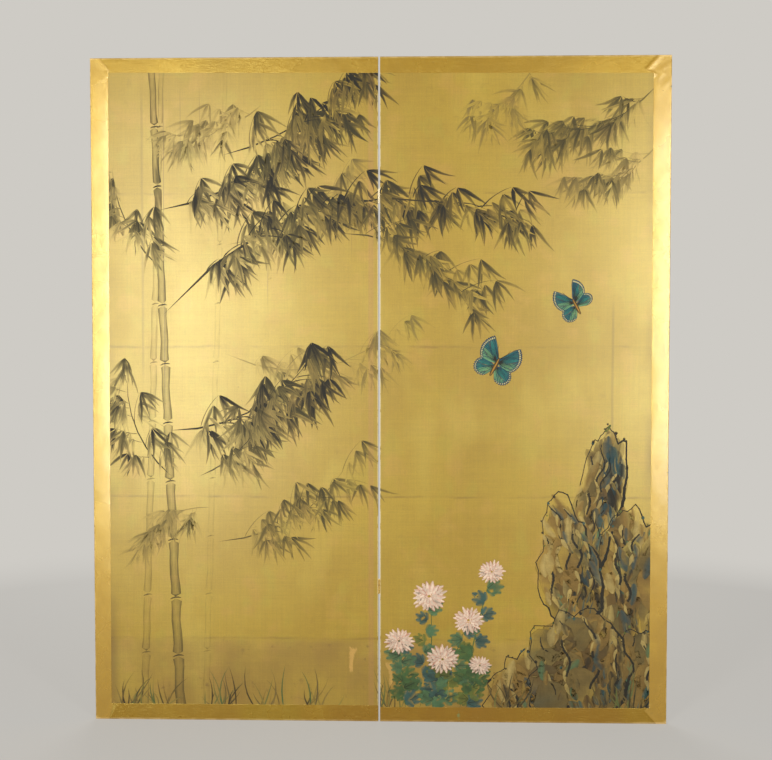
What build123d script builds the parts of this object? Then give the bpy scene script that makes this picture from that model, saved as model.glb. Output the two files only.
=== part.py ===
from build123d import *
import os

# Two-panel folding screen (byobu), opened out in one line.
# Millimetres. The floor is Z = 0, +Z is up, +X is the viewer's right and the painted front faces -Y.
# The fold stands at X = 0. Depths through a panel are written as distances forward of the middle of
# its wooden core, so a piece at a negative distance lies behind the middle.
# Panel pieces are drawn for the right-hand panel and mirrored for the left-hand one.

# ---- driving dimensions ----

# overall
panel_width = 742.5  # one panel, from its hinge edge to its outer edge
panel_height = 1720.0
panel_gap = 5.0  # between the two panels when they stand in line

# wooden core: four members tenoned together round a half-lapped lattice
core_thickness = 18.0
stile_width = 30.0
rail_width = 36.0
tenon_thickness = 6.0
tenon_shoulder = 8.0  # left above and below a rail's tenon
peg_radius = 2.5  # to the corners of its whittled sides
peg_sides = 8

lattice_upright_count = 4
lattice_bar_count = 10
lattice_width = 12.0
stub_length = 8.0  # how far a lattice strip is tenoned into the frame
stub_thickness = 6.0

corner_board_leg = 80.0  # along each member, inside the frame
corner_board_thickness = 4.0
corner_board_inset = 4.0  # how deep its edges are housed in the members

# papers, silk and cloth
paper_thickness = 0.6  # the pasted layers on each face of the core
strip_thickness = 0.5  # on the hinge edge
silk_thickness = 0.4
silk_tuck = 12.0  # how far the silk runs under the borders
cloth_thickness = 0.8  # border cloth with its lining
side_border_width = 45.0
top_border_height = 41.5
bottom_border_height = 41.0
mitre_setback = 25.0  # from the panel's corner to where the side cloth's folded end meets the edge
cloth_turnover = 20.0  # how far the cloth is turned over on the back
cloth_margin = 5.0  # how much of that turnover stays in view
facing_thickness = 0.4  # back paper where it lies over the cloth

# hinges
hinge_from_end = 355.0  # from either end of the panel to the middle of a hinge
knuckle_stack = 36.0  # the three knuckles together
knuckle_play = 0.2  # between neighbouring knuckles
knuckle_relief = 0.3  # between a knuckle and whatever turns past it
pivot_stand_off = 1.0  # from the cloth's front to the fold's axis
pin_radius = 1.0
pin_running_clearance = 0.05
pin_head_setback = 0.3  # from the barrel's outside to the head's
pin_head_height = 1.0
leaf_thickness = 1.5
leaf_depth = 15.0  # along the panel's edge, front to back
leaf_corner_bevel = 1.5

# countersunk screws, two in a leaf
screw_spacing = 22.0
screw_radius = 1.3
screw_head_radius = 2.6
screw_length = 13.0
screw_hole_clearance = 0.1

# ---- places that follow from them ----

hinge_edge_x = panel_gap / 2
outer_edge_x = hinge_edge_x + panel_width
core_near_x = hinge_edge_x + strip_thickness
core_far_x = outer_edge_x - cloth_thickness
hinge_stile_face_x = core_near_x + stile_width
outer_stile_face_x = core_far_x - stile_width

core_low_z = cloth_thickness
core_high_z = panel_height - cloth_thickness
bottom_rail_face_z = core_low_z + rail_width
top_rail_face_z = core_high_z - rail_width

opening_width = outer_stile_face_x - hinge_stile_face_x
opening_height = top_rail_face_z - bottom_rail_face_z
opening_middle_x = (outer_stile_face_x + hinge_stile_face_x) / 2
opening_middle_z = (top_rail_face_z + bottom_rail_face_z) / 2
upright_pitch = opening_width / (lattice_upright_count + 1)
bar_pitch = opening_height / (lattice_bar_count + 1)

tenon_height = rail_width - 2 * tenon_shoulder
tenon_middles_z = [core_low_z + rail_width / 2, core_high_z - rail_width / 2]
stile_middles_x = [core_near_x + stile_width / 2, core_far_x - stile_width / 2]

# distances forward of the core's middle
core_face = core_thickness / 2
paper_face = core_face + paper_thickness
silk_face = paper_face + silk_thickness
cloth_face = paper_face + cloth_thickness
facing_face = cloth_face + facing_thickness
pivot_forward = cloth_face + pivot_stand_off

# the barrel fills the gap between the panels
knuckle_radius = hinge_edge_x - knuckle_relief
pin_head_radius = knuckle_radius - pin_head_setback
barrel_face = pivot_forward + knuckle_radius

# the origin lies midway between the hinge barrels and the back paper
core_middle_y = (barrel_face - facing_face) / 2
pivot_y = core_middle_y - pivot_forward

# the area inside the three borders
field_far_x = outer_edge_x - side_border_width
field_low_z = bottom_border_height
field_high_z = panel_height - top_border_height

leaf_face_x = hinge_edge_x - leaf_thickness
leaf_front_y = core_middle_y - silk_face
leaf_middle_y = leaf_front_y + leaf_depth / 2
knuckle_length = (knuckle_stack - 2 * knuckle_play) / 3
hinge_middles_z = {
    "upper": panel_height - hinge_from_end,
    "lower": hinge_from_end,
}
screw_middles_z = [
    middle + shift for middle in hinge_middles_z.values() for shift in (-screw_spacing / 2, screw_spacing / 2)
]

os.makedirs("parts", exist_ok=True)


def facing_front(forward):
    """The upright plane, looking out of the painted front, at a distance forward of the core's middle."""
    return Plane.XZ.offset(forward - core_middle_y)


def block(near_x, far_x, low_z, high_z):
    """A rectangle between two upright and two level lines of the open sketch."""
    with Locations(((near_x + far_x) / 2, (low_z + high_z) / 2)):
        Rectangle(far_x - near_x, high_z - low_z)


def keep(piece, name):
    piece.part.label = name
    export_step(piece.part, f"parts/{name}.step")


# ---- wooden core ----


def make_stile(edge_x, face_x, screwed):
    """A full-height member. Its edge faces out of the panel and its face looks on to the lattice."""
    with BuildPart() as stile:
        with BuildSketch(facing_front(core_face)):
            block(min(edge_x, face_x), max(edge_x, face_x), core_low_z, core_high_z)
        extrude(amount=-core_thickness)
        # the rails' tenons come right through
        with BuildSketch(Plane.YZ.offset(edge_x)):
            with Locations(*[(core_middle_y, z) for z in tenon_middles_z]):
                Rectangle(tenon_thickness, tenon_height)
        extrude(amount=face_x - edge_x, mode=Mode.SUBTRACT)
        # blind mortises for the lattice bars
        with BuildSketch(Plane.YZ.offset(face_x)):
            with Locations((core_middle_y, opening_middle_z)):
                with GridLocations(1, bar_pitch, 1, lattice_bar_count):
                    Rectangle(stub_thickness, lattice_width)
        into_stile = 1 if edge_x > face_x else -1
        extrude(amount=into_stile * stub_length, mode=Mode.SUBTRACT)
        with BuildSketch(facing_front(core_face)):
            peg_sections()
        extrude(amount=-core_thickness, mode=Mode.SUBTRACT)
        with BuildSketch(facing_front(corner_board_thickness / 2)):
            corner_board_outlines()
        extrude(amount=-corner_board_thickness, mode=Mode.SUBTRACT)
        if screwed:
            with BuildSketch(Plane.YZ.offset(edge_x)):
                awl_holes()
            extrude(amount=screw_length, mode=Mode.SUBTRACT)
    return stile


def make_rail(edge_z, face_z):
    """A cross member between the stiles, with a through tenon at each end."""
    with BuildPart() as rail:
        low_z, high_z = min(edge_z, face_z), max(edge_z, face_z)
        with BuildSketch(facing_front(core_face)):
            block(hinge_stile_face_x, outer_stile_face_x, low_z, high_z)
        extrude(amount=-core_thickness)
        with BuildSketch(facing_front(tenon_thickness / 2)):
            block(core_near_x, core_far_x, low_z + tenon_shoulder, high_z - tenon_shoulder)
        extrude(amount=-tenon_thickness)
        # blind mortises for the lattice uprights
        with BuildSketch(Plane.XY.offset(face_z)):
            with Locations((opening_middle_x, core_middle_y)):
                with GridLocations(upright_pitch, 1, lattice_upright_count, 1):
                    Rectangle(lattice_width, stub_thickness)
        into_rail = 1 if edge_z > face_z else -1
        extrude(amount=into_rail * stub_length, mode=Mode.SUBTRACT)
        with BuildSketch(facing_front(core_face)):
            peg_sections()
        extrude(amount=-core_thickness, mode=Mode.SUBTRACT)
        with BuildSketch(facing_front(corner_board_thickness / 2)):
            corner_board_outlines()
        extrude(amount=-corner_board_thickness, mode=Mode.SUBTRACT)
    return rail


def peg_sections():
    with Locations(*[(x, z) for x in stile_middles_x for z in tenon_middles_z]):
        RegularPolygon(peg_radius, peg_sides)


def awl_holes():
    """Four-sided holes, pricked with a square awl, that run into the panel from its hinge edge."""
    hole_side = 2 * (screw_radius + screw_hole_clearance)
    with Locations(*[(leaf_middle_y, z) for z in screw_middles_z]):
        Rectangle(hole_side, hole_side)


def corner_board_outlines():
    """The four three-cornered boards, drawn with the parts that are housed in the members."""
    corners = [
        (hinge_stile_face_x, bottom_rail_face_z, 1, 1),
        (outer_stile_face_x, bottom_rail_face_z, -1, 1),
        (outer_stile_face_x, top_rail_face_z, -1, -1),
        (hinge_stile_face_x, top_rail_face_z, 1, -1),
    ]
    for x, z, along_x, along_z in corners:
        root_x = x - along_x * corner_board_inset
        root_z = z - along_z * corner_board_inset
        tip_x = x + along_x * corner_board_leg
        tip_z = z + along_z * corner_board_leg
        Polygon((root_x, root_z), (tip_x, root_z), (tip_x, z), (x, tip_z), (root_x, tip_z), align=None)


hinge_stile = make_stile(core_near_x, hinge_stile_face_x, screwed=True)
outer_stile = make_stile(core_far_x, outer_stile_face_x, screwed=False)
bottom_rail = make_rail(core_low_z, bottom_rail_face_z)
top_rail = make_rail(core_high_z, top_rail_face_z)

# pegs driven through the four corner joints
with BuildPart() as frame_pegs:
    with BuildSketch(facing_front(core_face)):
        peg_sections()
    extrude(amount=-core_thickness)

with BuildPart() as corner_boards:
    with BuildSketch(facing_front(corner_board_thickness / 2)):
        corner_board_outlines()
    extrude(amount=-corner_board_thickness)

# Where the strips cross, the upright keeps its front half and the bar its back half.
with BuildPart() as lattice_uprights:
    with BuildSketch(facing_front(core_face)):
        with Locations((opening_middle_x, opening_middle_z)):
            with GridLocations(upright_pitch, 1, lattice_upright_count, 1):
                Rectangle(lattice_width, opening_height)
    extrude(amount=-core_thickness)
    with BuildSketch(facing_front(stub_thickness / 2)):
        with Locations((opening_middle_x, opening_middle_z)):
            with GridLocations(upright_pitch, 1, lattice_upright_count, 1):
                Rectangle(lattice_width, opening_height + 2 * stub_length)
    extrude(amount=-stub_thickness)
    with BuildSketch(facing_front(0)):
        with Locations((opening_middle_x, opening_middle_z)):
            with GridLocations(upright_pitch, bar_pitch, lattice_upright_count, lattice_bar_count):
                Rectangle(lattice_width, lattice_width)
    extrude(amount=-core_face, mode=Mode.SUBTRACT)

with BuildPart() as lattice_bars:
    with BuildSketch(facing_front(core_face)):
        with Locations((opening_middle_x, opening_middle_z)):
            with GridLocations(1, bar_pitch, 1, lattice_bar_count):
                Rectangle(opening_width, lattice_width)
    extrude(amount=-core_thickness)
    with BuildSketch(facing_front(stub_thickness / 2)):
        with Locations((opening_middle_x, opening_middle_z)):
            with GridLocations(1, bar_pitch, 1, lattice_bar_count):
                Rectangle(opening_width + 2 * stub_length, lattice_width)
    extrude(amount=-stub_thickness)
    with BuildSketch(facing_front(core_face)):
        with Locations((opening_middle_x, opening_middle_z)):
            with GridLocations(upright_pitch, bar_pitch, lattice_upright_count, lattice_bar_count):
                Rectangle(lattice_width, lattice_width)
    extrude(amount=-core_face, mode=Mode.SUBTRACT)

# ---- papers and silk ----

with BuildPart() as front_underpaper:
    with BuildSketch(facing_front(paper_face)):
        block(core_near_x, core_far_x, core_low_z, core_high_z)
    extrude(amount=-paper_thickness)

with BuildPart() as back_underpaper:
    with BuildSketch(facing_front(-core_face)):
        block(core_near_x, core_far_x, core_low_z, core_high_z)
    extrude(amount=-paper_thickness)

# closes the hinge edge of the core and its papers
with BuildPart() as edge_strip:
    with BuildSketch(facing_front(paper_face)):
        block(hinge_edge_x, core_near_x, core_low_z, core_high_z)
    extrude(amount=-2 * paper_face)
    with BuildSketch(Plane.YZ.offset(hinge_edge_x)):
        awl_holes()
    extrude(amount=strip_thickness, mode=Mode.SUBTRACT)

with BuildPart() as painted_silk:
    with BuildSketch(facing_front(silk_face)):
        block(hinge_edge_x, field_far_x + silk_tuck, field_low_z - silk_tuck, field_high_z + silk_tuck)
    extrude(amount=-silk_thickness)

# The back paper fills the area inside the turned-over cloth and laps over its raw edge.
with BuildPart() as back_paper:
    with BuildSketch(facing_front(-paper_face)):
        block(hinge_edge_x, outer_edge_x - cloth_turnover, cloth_turnover, panel_height - cloth_turnover)
    extrude(amount=-cloth_thickness)
    with BuildSketch(facing_front(-cloth_face)):
        block(hinge_edge_x, outer_edge_x - cloth_margin, cloth_margin, panel_height - cloth_margin)
    extrude(amount=-facing_thickness)

# ---- cloth borders, wrapped over the panel's edges ----
# The side cloth goes round the outer corners, and its ends are folded back on a slant over the others.


def make_border(outline):
    """One side of the wrapped cloth: everything outside the core that stands over the outline."""
    with BuildPart() as border:
        with BuildSketch(facing_front(cloth_face)):
            with BuildLine():
                Polyline(*outline, close=True)
            make_face()
        extrude(amount=-2 * cloth_face)
        # the core, its papers and the edge strip fill the channel
        with BuildSketch(facing_front(paper_face)):
            block(hinge_edge_x, core_far_x, core_low_z, core_high_z)
        extrude(amount=-2 * paper_face, mode=Mode.SUBTRACT)
        # a lip laps over the silk
        with BuildSketch(facing_front(silk_face)):
            block(hinge_edge_x, field_far_x + silk_tuck, field_low_z - silk_tuck, field_high_z + silk_tuck)
        extrude(amount=-silk_thickness, mode=Mode.SUBTRACT)
        # the cloth stops a little way in on the back
        with BuildSketch(facing_front(-paper_face)):
            block(hinge_edge_x, outer_edge_x - cloth_turnover, cloth_turnover, panel_height - cloth_turnover)
        extrude(amount=-cloth_thickness, mode=Mode.SUBTRACT)
    return border


top_near = (hinge_edge_x, panel_height)
top_mitre = (outer_edge_x - mitre_setback, panel_height)
top_far = (outer_edge_x, panel_height)
bottom_near = (hinge_edge_x, 0)
bottom_mitre = (outer_edge_x - mitre_setback, 0)
bottom_far = (outer_edge_x, 0)
field_top_near = (hinge_edge_x, field_high_z)
field_top_far = (field_far_x, field_high_z)
field_bottom_near = (hinge_edge_x, field_low_z)
field_bottom_far = (field_far_x, field_low_z)

top_border = make_border([field_top_near, top_near, top_mitre, field_top_far])
side_border = make_border([top_mitre, top_far, bottom_far, bottom_mitre, field_bottom_far, field_top_far])
bottom_border = make_border([field_bottom_near, bottom_near, bottom_mitre, field_bottom_far])

# ---- the panels ----

panel_pieces = {
    "hinge_stile": hinge_stile,
    "outer_stile": outer_stile,
    "top_rail": top_rail,
    "bottom_rail": bottom_rail,
    "frame_pegs": frame_pegs,
    "corner_boards": corner_boards,
    "lattice_uprights": lattice_uprights,
    "lattice_bars": lattice_bars,
    "front_underpaper": front_underpaper,
    "back_underpaper": back_underpaper,
    "edge_strip": edge_strip,
    "painted_silk": painted_silk,
    "back_paper": back_paper,
    "top_border": top_border,
    "side_border": side_border,
    "bottom_border": bottom_border,
}

for piece_name, right_piece in panel_pieces.items():
    with BuildPart() as left_piece:
        mirror(right_piece.part, about=Plane.YZ)
    keep(right_piece, f"right_{piece_name}")
    keep(left_piece, f"left_{piece_name}")

# ---- butt hinges: three knuckles on a fixed pin, the middle one on the right-hand leaf ----


def make_leaf(side, middle_z, own_knuckles, other_knuckles):
    """A leaf on the panel edge at side (-1 left, 1 right). Knuckles are given as (low z, height)."""
    with BuildPart() as leaf:
        with BuildSketch(Plane.YZ.offset(side * leaf_face_x)) as plate:
            with Locations((leaf_middle_y, middle_z)):
                Rectangle(leaf_depth, knuckle_stack)
            back_corners = plate.vertices().group_by(Axis.Y)[-1]
            chamfer(back_corners, leaf_corner_bevel)
        extrude(amount=side * leaf_thickness)
        # room for the other leaf's knuckles to turn
        for low_z, height in other_knuckles:
            with BuildSketch(Plane.XY.offset(low_z)):
                with Locations((0, pivot_y)):
                    Circle(knuckle_radius + knuckle_relief)
            extrude(amount=height, mode=Mode.SUBTRACT)
        # own knuckles, rolled out of the leaf
        for low_z, height in own_knuckles:
            with BuildSketch(Plane.XY.offset(low_z)):
                with Locations((0, pivot_y)):
                    Circle(knuckle_radius)
                with Locations((side * (leaf_face_x + knuckle_radius) / 2, (pivot_y + leaf_front_y) / 2)):
                    Rectangle(knuckle_radius - leaf_face_x, leaf_front_y - pivot_y)
            extrude(amount=height)
        with BuildSketch(Plane.XY.offset(middle_z - knuckle_stack / 2)):
            with Locations((0, pivot_y)):
                Circle(pin_radius + pin_running_clearance)
        extrude(amount=knuckle_stack, mode=Mode.SUBTRACT)
        for shift in (-screw_spacing / 2, screw_spacing / 2):
            open_face = Plane((side * leaf_face_x, leaf_middle_y, middle_z + shift), z_dir=(-side, 0, 0))
            with Locations(open_face):
                CounterSinkHole(screw_radius + screw_hole_clearance, screw_head_radius)
    return leaf


def make_screws(side):
    """All the screws of one panel, flush with the leaves' open faces and pointing into the panel."""
    head_height = screw_head_radius - screw_radius
    with BuildPart() as screws:
        for middle_z in screw_middles_z:
            seat = (side * leaf_face_x, leaf_middle_y, middle_z)
            with BuildSketch(Plane(seat, x_dir=(0, 0, 1), z_dir=(0, 1, 0))):
                with BuildLine():
                    Polyline(
                        (0, 0),
                        (screw_head_radius, 0),
                        (screw_radius, side * head_height),
                        (screw_radius, side * screw_length),
                        (0, side * screw_length),
                        close=True,
                    )
                make_face()
            revolve(axis=Axis(seat, (1, 0, 0)))
    return screws


def make_pin(middle_z):
    """A pin with a low flat head seated on each end of the barrel."""
    low_z = middle_z - knuckle_stack / 2
    with BuildPart() as pin:
        with BuildSketch(Plane.XY.offset(low_z)):
            with Locations((0, pivot_y)):
                Circle(pin_radius)
        extrude(amount=knuckle_stack)
        for end_z, outward in ((low_z, -1), (low_z + knuckle_stack, 1)):
            with BuildSketch(Plane.XY.offset(end_z)):
                with Locations((0, pivot_y)):
                    Circle(pin_head_radius)
            extrude(amount=outward * pin_head_height)
    return pin


for hinge_name, middle_z in hinge_middles_z.items():
    low_z = middle_z - knuckle_stack / 2
    high_z = middle_z + knuckle_stack / 2
    middle_knuckle_z = middle_z - knuckle_length / 2
    end_knuckles = [(low_z, knuckle_length), (high_z - knuckle_length, knuckle_length)]
    middle_knuckle = [(middle_knuckle_z, knuckle_length)]
    # what each leaf leaves open: its neighbour's knuckles with the play beside them
    open_middle = [(middle_knuckle_z - knuckle_play, knuckle_length + 2 * knuckle_play)]
    open_end_length = knuckle_length + knuckle_play
    open_ends = [(low_z, open_end_length), (high_z - open_end_length, open_end_length)]
    keep(make_leaf(-1, middle_z, end_knuckles, open_middle), f"{hinge_name}_hinge_left_leaf")
    keep(make_leaf(1, middle_z, middle_knuckle, open_ends), f"{hinge_name}_hinge_right_leaf")
    keep(make_pin(middle_z), f"{hinge_name}_hinge_pin")

keep(make_screws(-1), "left_hinge_screws")
keep(make_screws(1), "right_hinge_screws")
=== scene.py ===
import math
import random

import bmesh
import bpy
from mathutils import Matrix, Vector, noise


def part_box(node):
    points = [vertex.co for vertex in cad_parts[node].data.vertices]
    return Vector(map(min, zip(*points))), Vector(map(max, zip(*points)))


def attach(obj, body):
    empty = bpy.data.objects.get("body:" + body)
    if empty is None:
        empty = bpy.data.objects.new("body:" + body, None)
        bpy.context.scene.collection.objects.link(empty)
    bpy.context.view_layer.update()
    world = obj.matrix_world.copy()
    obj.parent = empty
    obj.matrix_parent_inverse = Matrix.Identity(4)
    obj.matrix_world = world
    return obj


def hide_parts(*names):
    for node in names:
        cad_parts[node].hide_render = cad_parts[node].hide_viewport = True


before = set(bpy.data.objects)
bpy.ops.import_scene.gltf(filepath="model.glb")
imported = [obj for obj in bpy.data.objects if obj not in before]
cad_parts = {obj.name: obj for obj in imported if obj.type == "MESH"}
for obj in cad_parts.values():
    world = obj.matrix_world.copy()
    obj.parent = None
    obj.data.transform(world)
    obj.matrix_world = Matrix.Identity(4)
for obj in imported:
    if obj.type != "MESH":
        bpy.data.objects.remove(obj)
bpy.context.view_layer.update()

# Everything is in metres. The painted front faces -Y, the fold stands at X = 0 and the floor is Z = 0.

sides = {"left": -1, "right": 1}

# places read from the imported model
silkLow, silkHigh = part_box("right_painted_silk")
clothLow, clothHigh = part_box("right_side_border")
topLow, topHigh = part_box("right_top_border")
bottomLow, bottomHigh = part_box("right_bottom_border")
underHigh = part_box("right_back_underpaper")[1]

hingeEdge = silkLow.x            # half the gap between the panels
outerEdge = clothHigh.x
panelTop = clothHigh.z
silkFace = silkLow.y             # the painted face
clothFace = clothLow.y
clothBack = clothHigh.y
clothThickness = clothBack - underHigh.y
sideWidth = clothHigh.x - clothLow.x
topHeight = topHigh.z - topLow.z
bottomHeight = bottomHigh.z - bottomLow.z
mitreSetback = outerEdge - topHigh.x
tiny = 1e-5


# shader expressions


class Value:
    # what a node gives; numbers take the usual operators

    def __init__(self, tree, socket):
        self.tree, self.socket = tree, socket

    def maths(self, operation, *others):
        return self.tree.add("Math", {"operation": operation}, dict(enumerate((self, *others))))

    def __add__(self, other):
        return self.maths("ADD", other)

    def __mul__(self, other):
        return self.maths("MULTIPLY", other)

    def __sub__(self, other):
        return self.maths("SUBTRACT", other)

    def __rsub__(self, other):
        return self.tree.add("Math", {"operation": "SUBTRACT"}, {0: other, 1: self})

    __radd__ = __add__
    __rmul__ = __mul__

    def __abs__(self):
        return self.maths("ABSOLUTE")

    def most(self, other):
        return self.maths("MAXIMUM", other)

    def rise(self, low, high):
        # 0 at low, 1 at high and smooth between
        if low > high:
            return 1 - self.rise(high, low)
        return self.tree.add("MapRange", {"interpolation_type": "SMOOTHSTEP"},
                             {"Value": self, "From Min": low, "From Max": high})


class Tree:
    # the nodes of a material or of the world

    def __init__(self, nodeTree):
        self.nodes, self.links = nodeTree.nodes, nodeTree.links
        self.nodes.clear()

    def add(self, kind, settings=None, sockets=None, out=0):
        node = self.nodes.new("ShaderNode" + kind)
        for key, value in (settings or {}).items():
            setattr(node, key, value)
        for key, value in (sockets or {}).items():
            socket = node.inputs[key]
            if isinstance(value, Value):
                self.links.new(value.socket, socket)
            elif socket.type == "RGBA":
                socket.default_value = (*value, 1)
            else:
                socket.default_value = value
        return Value(self, node.outputs[out])

    def other(self, value, out):
        # another output of the node that gave a value
        return Value(self, value.socket.node.outputs[out])

    def split(self, vector):
        first = self.add("SeparateXYZ", sockets={0: vector})
        return first, self.other(first, 1), self.other(first, 2)

    def noise(self, place, scale, detail, roughness, stretch):
        stretched = self.add("VectorMath", {"operation": "MULTIPLY"}, {0: place, 1: stretch})
        return self.add("TexNoise", sockets={"Vector": stretched, "Scale": scale, "Detail": detail,
                                             "Roughness": roughness})

    def mix(self, factor, first, second):
        return self.add("Mix", {"data_type": "RGBA"}, {0: factor, 6: first, 7: second}, out=2)

    def mixShaders(self, factor, first, second):
        return self.add("MixShader", sockets={0: factor, 1: first, 2: second})

    def straightRay(self):
        # 1 for what the camera sees directly, mirrored or through something clear
        ray = self.add("LightPath", out="Is Camera Ray")
        return ray.most(self.other(ray, "Is Glossy Ray")).most(self.other(ray, "Is Transmission Ray"))

    def shade(self, colour, level):
        # a colour made darker or lighter by a number
        return self.add("VectorMath", {"operation": "SCALE"}, {0: colour, 3: level})

    def output(self, shader, kind="OutputMaterial"):
        self.links.new(shader.socket, self.nodes.new("ShaderNode" + kind).inputs["Surface"])


class Finish(Tree):
    # one material, with its pattern in the shared coordinates; its colours go on one over another

    def __init__(self, name, colour=None):
        self.material, self.colour = bpy.data.materials.new(name), colour
        self.material.use_nodes = True
        super().__init__(self.material.node_tree)
        self.place = self.add("TexCoord", out="Object")
        self.x, self.y, self.z = self.split(self.place)

    def over(self, cover, colour):
        self.colour = self.mix(cover, self.colour, colour)

    def grain(self, scale, detail=2.0, roughness=0.5, stretch=(1, 1, 1)):
        return self.noise(self.place, scale, detail, roughness, stretch)

    def threads(self, *fineness, detail=2):
        # noise drawn out along one axis, round zero
        return self.grain(1, detail, stretch=fineness) - 0.5

    def spots(self, scale, radius):
        # scattered round spots, on about a quarter of the cells
        tone = self.add("TexVoronoi", sockets={"Vector": self.place, "Scale": scale}, out="Color")
        distance = self.other(tone, "Distance")
        return distance.rise(radius * scale, radius * scale * 0.35) * self.split(tone)[0].rise(0.72, 0.8)

    def coat(self, relief, depth, strength, tone=1, **sockets):
        # the colour so far, made lighter or darker by the tone
        named = {key.replace("_", " "): value for key, value in sockets.items()}
        named["Base Color"] = self.shade(self.colour, tone)
        named["Normal"] = self.add("Bump", sockets={"Height": relief, "Distance": depth,
                                                    "Strength": strength})
        return self.add("BsdfPrincipled", sockets=named)

    def done(self, shader):
        self.output(shader)
        return self.material


def paint(red, green, blue):
    # a colour as a screen shows it, 0 to 255, as the linear one that a shader takes
    def linear(level):
        level /= 255
        return level / 12.92 if level <= 0.04045 else ((level + 0.055) / 1.055) ** 2.4
    return linear(red), linear(green), linear(blue)


# shared making


def addObject(name, data):
    made = bpy.data.objects.new(name, data)
    bpy.context.scene.collection.objects.link(made)
    return made


def toMesh(shape, name):
    mesh = bpy.data.meshes.new(name)
    shape.to_mesh(mesh)
    shape.free()
    return mesh


def keepPiece(shape, name, side, finish):
    # turns a finished shape into a piece that rides on its panel
    for face in shape.faces:
        face.smooth = True
    for edge in shape.edges:
        edge.smooth = edge.calc_face_angle(0) < math.radians(40)
    piece = addObject(name, toMesh(shape, name))
    piece.data.materials.append(finish)
    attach(piece, f"{side}_panel")
    return piece


def cutAt(shape, axis, place, way=1, **options):
    # cuts a whole shape square to an axis; with clear_outer, what lies beyond the cut on that way goes
    bmesh.ops.bisect_plane(shape, geom=shape.verts[:] + shape.edges[:] + shape.faces[:], dist=tiny / 10,
                           plane_co=[place if number == axis else 0 for number in range(3)],
                           plane_no=[way if number == axis else 0 for number in range(3)], **options)


# studio

studio = {
    "cameraPlace": (0.1296, -3.5404, 1.0438), "cameraTilt": -2.459, "cameraTurn": 1.8117, "lens": 63.87,
    "floorRadius": 16.0, "fade": (1.2, 3.0), "floorGlow": 0.62,
    "floorColour": paint(222, 219, 213), "backdropColour": paint(206, 203, 197),
    "ambient": 0.24,
    # place, what it is aimed at, width, height, power
    "lamps": {
        "keyLamp": ((-1.15, -3.45, 1.11), (-0.45, 0.0, 1.02), 0.6, 2.0, 50),
        "fillLamp": ((1.42, -3.3, 1.12), (0.7, 0.0, 0.98), 0.4, 1.9, 36),
        "rearLamp": ((-0.5, 3.3, 2.3), (0.0, 0.0, 0.9), 1.8, 1.4, 44),
    },
}


def makeCamera():
    camera = addObject("camera", bpy.data.cameras.new("camera"))
    camera.location = studio["cameraPlace"]
    camera.rotation_euler = math.radians(90 + studio["cameraTilt"]), 0, math.radians(studio["cameraTurn"])
    camera.data.sensor_width, camera.data.lens = 36, studio["lens"]
    bpy.context.scene.camera = camera
    bpy.context.scene.view_settings.view_transform = "Standard"


def makeLamps():
    for name, (place, target, width, height, power) in studio["lamps"].items():
        lamp = bpy.data.lights.new(name, "AREA")
        lamp.shape, lamp.size, lamp.size_y, lamp.energy = "RECTANGLE", width, height, power
        holder = addObject(name, lamp)
        holder.location = place
        holder.rotation_euler = (Vector(target) - Vector(place)).to_track_quat("-Z", "Y").to_euler()


def makeWorld():
    world = bpy.data.worlds.new("studio")
    world.use_nodes = True
    bpy.context.scene.world = world
    tree = Tree(world.node_tree)
    light = tree.add("Background", sockets={"Color": (studio["ambient"],) * 3})
    seen = tree.add("Background", sockets={"Color": studio["backdropColour"]})
    tree.output(tree.mixShaders(tree.straightRay(), light, seen), "OutputWorld")


def makeFloor():
    # one wide disc, which turns into the backdrop's colour far out, so no horizon shows
    shape = bmesh.new()
    bmesh.ops.create_circle(shape, cap_ends=True, segments=96, radius=studio["floorRadius"])
    floor = addObject("studio_floor", toMesh(shape, "studio_floor"))
    finish = Finish("studioFloor")
    distance = finish.add("VectorMath", {"operation": "LENGTH"}, {0: finish.place}, out="Value")
    near = finish.add("BsdfDiffuse", sockets={"Color": studio["floorColour"]})
    far = finish.add("Emission", sockets={"Color": studio["backdropColour"]})
    fade = distance.rise(*studio["fade"]).most(finish.straightRay() * studio["floorGlow"])
    floor.data.materials.append(finish.done(finish.mixShaders(fade, near, far)))


# gilded silk

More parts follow.
